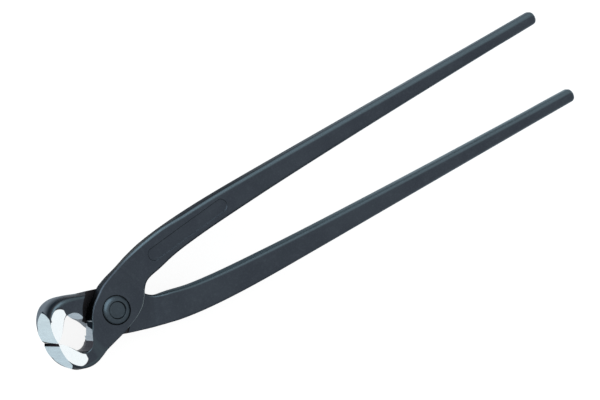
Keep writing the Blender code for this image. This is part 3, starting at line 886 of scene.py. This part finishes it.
def black_steel(name, finish, bare=None, highlight_from=None, jaw_flank_highlight=None):
    """Blackened steel: cloudy oxide and a fine grain.

    Bare gives where it is ground bright. The next argument is how far down a handle's flank its
    upper edge gets a painted highlight; without it, no edge gets one. The last is the colour of a
    painted highlight on the jaw's outer flank.
    """
    look = Look(name)
    look.shader.inputs["Metallic"].default_value = 1.0
    handle = look.rising(look.height("X"), HANDLE_SKIN_SPAN)
    jaw = look.before(look.height("X"), JAW_FROM_X)
    closing = closing_face(look)
    sheen = look.mixed(handle, OXIDE_SHEEN_TINT, SHEEN_TINT)
    look.tint(look.mixed(closing, sheen, EDGE_SHEEN_TINT))
    patterns = (CLOUDS, SPOTS, GRAIN)
    noises = [look.noise(pattern) for pattern in patterns]
    clouds, spots, grain = noises
    share = look.total(*(look.shown(*pair) for pair in zip(patterns, noises)))
    face = look.mixed(share, finish.colour, finish.worn)
    # Near the joint the flanks get painted shade, darker than the faces; towards the handles they
    # take the faces' colour.
    flank = FLANK_BLACK
    # The upper jaw's outer flank gets a painted highlight, on its part away from the camera.
    if jaw_flank_highlight is not None:
        low = look.falling(look.height("Z"), JAW_LIT_SPAN)
        lit = look.all_of(jaw, low, look.ramp(clouds, *JAW_LIT_CLOUDS, JAW_LIT_LEAST, 1.0))
        flank = look.mixed(lit, FLANK_BLACK, jaw_flank_highlight)
    flank = look.mixed(handle, flank, face)
    skin = look.mixed(look.rising(look.facing(), FACE_SPAN), flank, face)
    # Painted highlights on the rounded edges of the joint plate, of the handle's upper side and of
    # the jaw's face.
    if highlight_from is not None:
        skin = look.mixed(plate_highlight(look), skin, PLATE_EDGE_HIGHLIGHT)
        skin = look.mixed(handle_highlight(look, highlight_from), skin, HANDLE_EDGE_HIGHLIGHT)
        skin = look.mixed(jaw_highlight(look, jaw), skin, JAW_EDGE_HIGHLIGHT)
    if bare is not None:
        skin = look.mixed(bare(look), skin, EYE_STEEL)
    # The closing faces get painted shade, and their sheen is taken down.
    look.colour(look.mixed(closing, skin, CLOSING_SHADE_BLACK))
    both = look.total(clouds, grain)
    look.roughness(look.ramp(both, *OXIDE_ROUGH_SPAN, finish.smooth, finish.rough))
    spot_relief = look.math("MULTIPLY", spots, SPOT_RELIEF_SHARE)
    grain_relief = look.math("MULTIPLY", grain, GRAIN_RELIEF_SHARE)
    look.relief(look.total(spot_relief, grain_relief), finish.grain_depth, OXIDE_EDGE_RADIUS)
    return look.material


def end_land(look):
    """The strip of a ground end under the cutting edge, which gets painted shade."""
    return look.rising(look.height("Y"), (-LAND_HEIGHT - MASK_EDGE, -LAND_HEIGHT))


def closing_face(look):
    """The strips along both cutting edges, where the jaws close, which get painted shade."""
    return look.all_of(
        look.before(look.magnitude(look.height("Y")), LAND_HEIGHT),
        look.before(look.height("X"), CLOSING_TO_X),
    )


def jaw_highlight(look, jaw):
    """Painted highlight on the rounded edge of a jaw's face."""
    return look.all_of(
        jaw,
        look.falling(look.facing(), JAW_EDGE_OUT),
        look.rising(look.facing(), JAW_EDGE_IN),
    )


def handle_highlight(look, highlight_from):
    """Painted highlight on a handle's upper edge, which faces up in the picture.

    The second argument is how far down its flank the painted highlight reaches.
    """
    return look.all_of(
        look.rising(look.normal("Y"), UPWARD_SPAN),
        look.falling(look.facing(), HANDLE_EDGE_OUT),
        look.rising(look.facing(), (highlight_from, highlight_from + HIGHLIGHT_BLEND)),
        look.rising(look.height("X"), HANDLE_EDGE_SPAN),
    )


def plate_highlight(look):
    """Painted highlight on the rounded edge of a joint plate, on the handle side."""
    return look.all_of(
        look.rising(look.normal("X"), HANDLEWARD_SPAN),
        look.falling(look.facing(), PLATE_EDGE_OUT),
        look.rising(look.facing(), PLATE_EDGE_IN),
        look.beyond(look.height("X"), PLATE_EDGE_FROM_X),
        look.before(look.height("X"), PLATE_EDGE_TO_X),
    )


def front_eye_bare(look):
    """The front plate's wall, up to where the ground hollow runs out on it."""
    rise = look.math("MULTIPLY", look.height("Z"), EYE_RUN_SLOPE)
    return look.all_of(
        look.before(look.total(look.height("Y"), rise), EYE_RUN_HEIGHT),
        look.beyond(look.height("Y"), EYE_DARK_HEIGHT),
        look.before(look.height("X"), EYE_RUN_X),
        look.falling(look.facing(), WALL_SPAN),
    )


def rear_eye_bare(look):
    """The rear plate's wall beside the hollow."""
    return look.all_of(
        look.before(look.height("X"), REAR_RUN_X),
        look.before(look.height("Y"), REAR_RUN_HEIGHT),
        look.beyond(look.height("Y"), -REAR_RUN_HEIGHT),
        look.falling(look.facing(), WALL_SPAN),
    )


def arch_side(look):
    """The ground side of a jaw ends in a round arch, whose foot on the lower jaw is wider."""
    outward = look.magnitude(look.height("Y"))
    across = look.math("SUBTRACT", look.height("X"), ARCH_X)
    along = look.math("MAXIMUM", look.math("SUBTRACT", outward, ARCH_Y), 0.0)
    squares = [look.math("MULTIPLY", length, length) for length in (across, along)]
    round_top = look.before(look.math("SQRT", look.total(*squares), 0.0), ARCH_RADIUS)
    ahead = look.math("MAXIMUM", look.math("SUBTRACT", ARCH_X, look.height("X")), 0.0)
    lower_jaw = look.before(look.height("Y"), 0.0)
    foot = look.all_of(ahead, ARCH_FOOT_SLOPE, lower_jaw)
    straight = look.before(look.math("SUBTRACT", outward, foot), ARCH_Y)
    return look.math("MAXIMUM", round_top, straight)


def arch_end(look):
    """The ground end of the upper jaw ends in a flat arch."""
    away = look.math("SUBTRACT", look.height("Z"), END_ARCH_Z)
    drop = look.all_of(away, away, END_ARCH_DROP)
    return look.before(look.total(look.height("Y"), drop), END_ARCH_Y)


def upper_eye(look):
    """The front hollow is bright down to where it turns under, and gets painted shade below."""
    return look.beyond(look.height("Y"), EYE_DARK_HEIGHT)


def ground_steel(name, grind, land=None, bare=None, unground_and_shade=UNGROUND_BLACK):
    """Ground steel with fine streaks along one axis.

    Bare gives where it is ground bright, with the given dark colour elsewhere: unground steel, but
    painted shade on the front hollow. Land is a strip along the cutting edge that gets painted
    shade, where the jaws meet. Each ground face has at least one of them.
    """
    look = Look(name)
    look.shader.inputs["Metallic"].default_value = 1.0
    streaks = look.noise(STREAKS, grind.streaks)
    patches = look.noise(PATCHES)
    share = look.total(look.shown(STREAKS, streaks), look.shown(PATCHES, patches))
    steel = look.mixed(share, grind.colour, grind.dull)
    sheen = SHEEN_TINT
    if bare is not None:
        bright = bare(look)
        steel = look.mixed(bright, unground_and_shade, steel)
        sheen = look.mixed(bright, OXIDE_SHEEN_TINT, sheen)
    # The land gets painted shade, and its sheen is taken down.
    if land is not None:
        strip = land(look)
        steel = look.mixed(strip, steel, LAND_SHADE_BLACK)
        sheen = look.mixed(strip, sheen, LAND_SHEEN_TINT)
    look.colour(steel)
    look.tint(sheen)
    look.roughness(look.ramp(streaks, *STREAK_ROUGH_SPAN, GROUND_SMOOTH, GROUND_ROUGH))
    look.relief(streaks, STREAK_DEPTH, GROUND_EDGE_RADIUS)
    return look.material


def baked(body, place):
    """The body with its cuts applied, as an object at the origin. The cutters go."""
    depsgraph = bpy.context.evaluated_depsgraph_get()
    mesh = bpy.data.meshes.new_from_object(body.evaluated_get(depsgraph), depsgraph=depsgraph)
    mesh.transform(place)
    name = body.name
    for guide in list(body.children):
        bpy.data.objects.remove(guide, do_unlink=True)
    bpy.data.objects.remove(body, do_unlink=True)
    piece = bpy.data.objects.new(name, mesh)
    bpy.context.scene.collection.objects.link(piece)
    return piece


def smoothed(piece):
    """Smooth shading with sharp creases, led by the larger faces."""
    piece.data.shade_smooth()
    piece.data.set_sharp_from_angle(angle=FACET_ANGLE)
    weighted = piece.modifiers.new("weighted", "WEIGHTED_NORMAL")
    weighted.keep_sharp = True
    weighted.weight = NORMAL_WEIGHT
    return piece


def forged_lever(name, head_radius, jaw_root, end_tilt, eye_heading, looks):
    ribs = forged_ribs()
    lever = lofted(name, tip_ribs()[:-1] + ribs)
    lever.data.materials.append(looks["forged"])
    cut_lap(lever, ribs, jaw_root, looks["machined"])
    cut_rivet_seat(lever, head_radius, looks["machined"])
    cut_jaw_side(lever, 1, looks["side"])
    cut_jaw_side(lever, -1, looks["side"])
    cut_jaw_end(lever, end_tilt, looks["end"])
    cut_eye(lever, eye_heading, looks["eye"])
    return lever


def front_forging(looks):
    grinds = (FRONT_JAW_ROOT, END_GRIND_TILT, FRONT_EYE_HEADING)
    lever = forged_lever("front_lever_forging", HEAD_RADIUS, *grinds, looks)
    relieve_eye(lever, looks["eye"])
    cut_recess(lever, looks["recess"])
    piece = smoothed(baked(lever, Matrix.Translation((pivot_x(), 0.0, 0.0))))
    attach(piece, "front")
    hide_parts("front_lever")


def rear_forging(looks):
    grinds = (REAR_JAW_ROOT, -END_GRIND_TILT, REAR_EYE_HEADING)
    lever = forged_lever("rear_lever_forging", BACK_HEAD_RADIUS, *grinds, looks)
    place = Matrix.Translation((pivot_x(), 0.0, 0.0)) @ Matrix.Rotation(pi, 4, "X")
    piece = smoothed(baked(lever, place))
    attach(piece, "rear")
    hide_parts("rear_lever")


def dome(radius, base, rise, rim_radius):
    """Points of a head's round flank, from its rim at the top down to its widest."""
    points = []
    for step in range(ARC_STEPS + 1):
        turn = pi / 2 * (1 - step / ARC_STEPS)
        out = blend(cos(turn), step / ARC_STEPS, CORNER_FLAT_SHARE)
        up = blend(sin(turn), 1 - step / ARC_STEPS, CORNER_FLAT_SHARE)
        points.append((blend(rim_radius, radius, out), base + rise * up))
    return points


def rivet_body(look):
    seat = PLATE_HEIGHT - SEAT_DEPTH + HAIR_GAP
    crown = PLATE_HEIGHT + HEAD_RISE
    floor = crown - DISH_DEPTH
    widest = seat + SEAT_DEPTH / 2
    front = [(0.0, floor), (DISH_RADIUS - DISH_DEPTH / 2, floor)]
    front.append((DISH_RADIUS, crown - DISH_DEPTH * DISH_LIP_SHARE))
    front += dome(HEAD_RADIUS, widest, crown - widest, RIM_RADIUS)
    front += [(HEAD_RADIUS, seat), (SHANK_RADIUS, seat)]
    back_crown = PLATE_HEIGHT + BACK_HEAD_RISE
    back = dome(BACK_HEAD_RADIUS, widest, back_crown - widest, SHANK_RADIUS)
    behind = [(SHANK_RADIUS, -seat), (BACK_HEAD_RADIUS, -seat)]
    behind += [(radius, -height) for radius, height in back[::-1]]
    body = turned("rivet_body", front + behind + [(0.0, -back_crown)])
    body.data.materials.append(look)
    piece = smoothed(baked(body, Matrix.Translation((pivot_x(), 0.0, 0.0))))
    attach(piece, "front")
    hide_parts("rivet")


def camera():
    data = bpy.data.cameras.new("camera")
    data.sensor_width = SENSOR_WIDTH
    data.lens = SENSOR_WIDTH * CAMERA_DISTANCE * PIXELS_PER_METRE / PHOTO_WIDTH
    data.clip_end = CLIP_END
    body = bpy.data.objects.new("camera", data)
    right = VIEW_RIGHT.normalized()
    back = VIEW_BACK.normalized()
    up = back.cross(right)
    target = Vector((pivot_x(), 0.0, 0.0)) + right * PHOTO_MIDDLE[0] + up * PHOTO_MIDDLE[1]
    axes = Matrix((right, up, back)).transposed().to_4x4()
    place = target + back * (CAMERA_DISTANCE + MIDDLE_DEPTH)
    body.matrix_world = Matrix.Translation(place) @ axes
    bpy.context.scene.collection.objects.link(body)
    bpy.context.scene.camera = body


def key_lamp():
    """One soft lamp, from the upper left of the picture and in front of it."""
    data = bpy.data.lights.new("key", "AREA")
    data.shape = "RECTANGLE"
    data.size, data.size_y = KEY_SIZES
    data.energy = KEY_WATTS
    data.color = KEY_COLOUR
    body = bpy.data.objects.new("key", data)
    direction = KEY_DIRECTION.normalized()
    body.location = direction * KEY_DISTANCE
    body.rotation_euler = direction.to_track_quat("Z", "Y").to_euler()
    bpy.context.scene.collection.objects.link(body)


def seen_by(nodes, links, unseen, seen_value):
    """One value for rays that light the object, and another for those that show the background."""
    path = nodes.new("ShaderNodeLightPath")
    total = path.outputs[BACKGROUND_RAYS[0]]
    for name in BACKGROUND_RAYS[1:]:
        both = nodes.new("ShaderNodeMath")
        both.operation = "MAXIMUM"
        links.new(total, both.inputs[0])
        links.new(path.outputs[name], both.inputs[1])
        total = both.outputs["Value"]
    strength = nodes.new("ShaderNodeMapRange")
    strength.inputs["To Min"].default_value = unseen
    strength.inputs["To Max"].default_value = seen_value
    links.new(total, strength.inputs["Value"])
    return strength.outputs["Result"]


def studio():
    world = bpy.data.worlds.new("studio")
    bpy.context.scene.world = world
    world.use_nodes = True
    nodes, links = world.node_tree.nodes, world.node_tree.links
    background = nodes["Background"]
    background.inputs["Color"].default_value = WORLD_COLOUR
    links.new(seen_by(nodes, links, WORLD_LIGHT, 1.0), background.inputs["Strength"])
    key_lamp()


def floor():
    bm = bmesh.new()
    half = FLOOR_HALF_SIZE
    corners = ((-half, -half), (half, -half), (half, half), (-half, half))
    bm.faces.new([bm.verts.new((x, y, FLOOR_HEIGHT)) for x, y in corners])
    ground = mesh_object("floor", bm)
    look = Look("pale_floor")
    seen = seen_by(look.nodes, look.links, 0.0, 1.0)
    look.colour(look.mixed(seen, FLOOR_COLOUR, FLOOR_SEEN_COLOUR))
    look.shader.inputs["Roughness"].default_value = FLOOR_ROUGHNESS
    look.shader.inputs["Specular IOR Level"].default_value = 0.0
    lift = look.nodes.new("ShaderNodeEmission")
    look.links.new(seen_by(look.nodes, look.links, 0.0, FLOOR_LIFT), lift.inputs["Strength"])
    both = look.nodes.new("ShaderNodeAddShader")
    look.links.new(look.shader.outputs["BSDF"], both.inputs[0])
    look.links.new(lift.outputs["Emission"], both.inputs[1])
    look.links.new(both.outputs["Shader"], look.nodes["Material Output"].inputs["Surface"])
    ground.data.materials.append(look.material)


def main():
    front_forged = black_steel("front_forged_black", FORGED, front_eye_bare, EDGE_HIGHLIGHT_FROM)
    rear_forged = black_steel(
        "rear_forged_black", FORGED, rear_eye_bare, FLANK_HIGHLIGHT_FROM, JAW_FLANK_HIGHLIGHT
    )
    front_machined = black_steel("front_machined_black", MACHINED, None, EDGE_HIGHLIGHT_FROM)
    rear_machined = black_steel("rear_machined_black", MACHINED, rear_eye_bare, EDGE_HIGHLIGHT_FROM)
    recess = black_steel("recess_black", SUNK)
    rivet = black_steel("rivet_black", HEAD)
    side = ground_steel("side_ground", SIDE_GRIND, bare=arch_side)
    front_end = ground_steel("front_end_ground", SHADED_LOWER_END_GRIND, land=end_land)
    rear_end = ground_steel("rear_end_ground", UPPER_END_GRIND, bare=arch_end)
    front_eye = ground_steel(
        "front_eye_ground", EYE_GRIND, closing_face, upper_eye, HOLLOW_SHADE_BLACK
    )
    rear_eye = ground_steel("rear_eye_ground", EYE_GRIND, closing_face)
    names = ("forged", "machined", "side", "end", "eye", "recess")
    front = (front_forged, front_machined, side, front_end, front_eye, recess)
    rear = (rear_forged, rear_machined, side, rear_end, rear_eye)
    camera()
    front_forging(dict(zip(names, front)))
    rear_forging(dict(zip(names, rear)))
    rivet_body(rivet)
    floor()
    studio()
    bpy.context.scene.view_settings.view_transform = "Standard"


main()
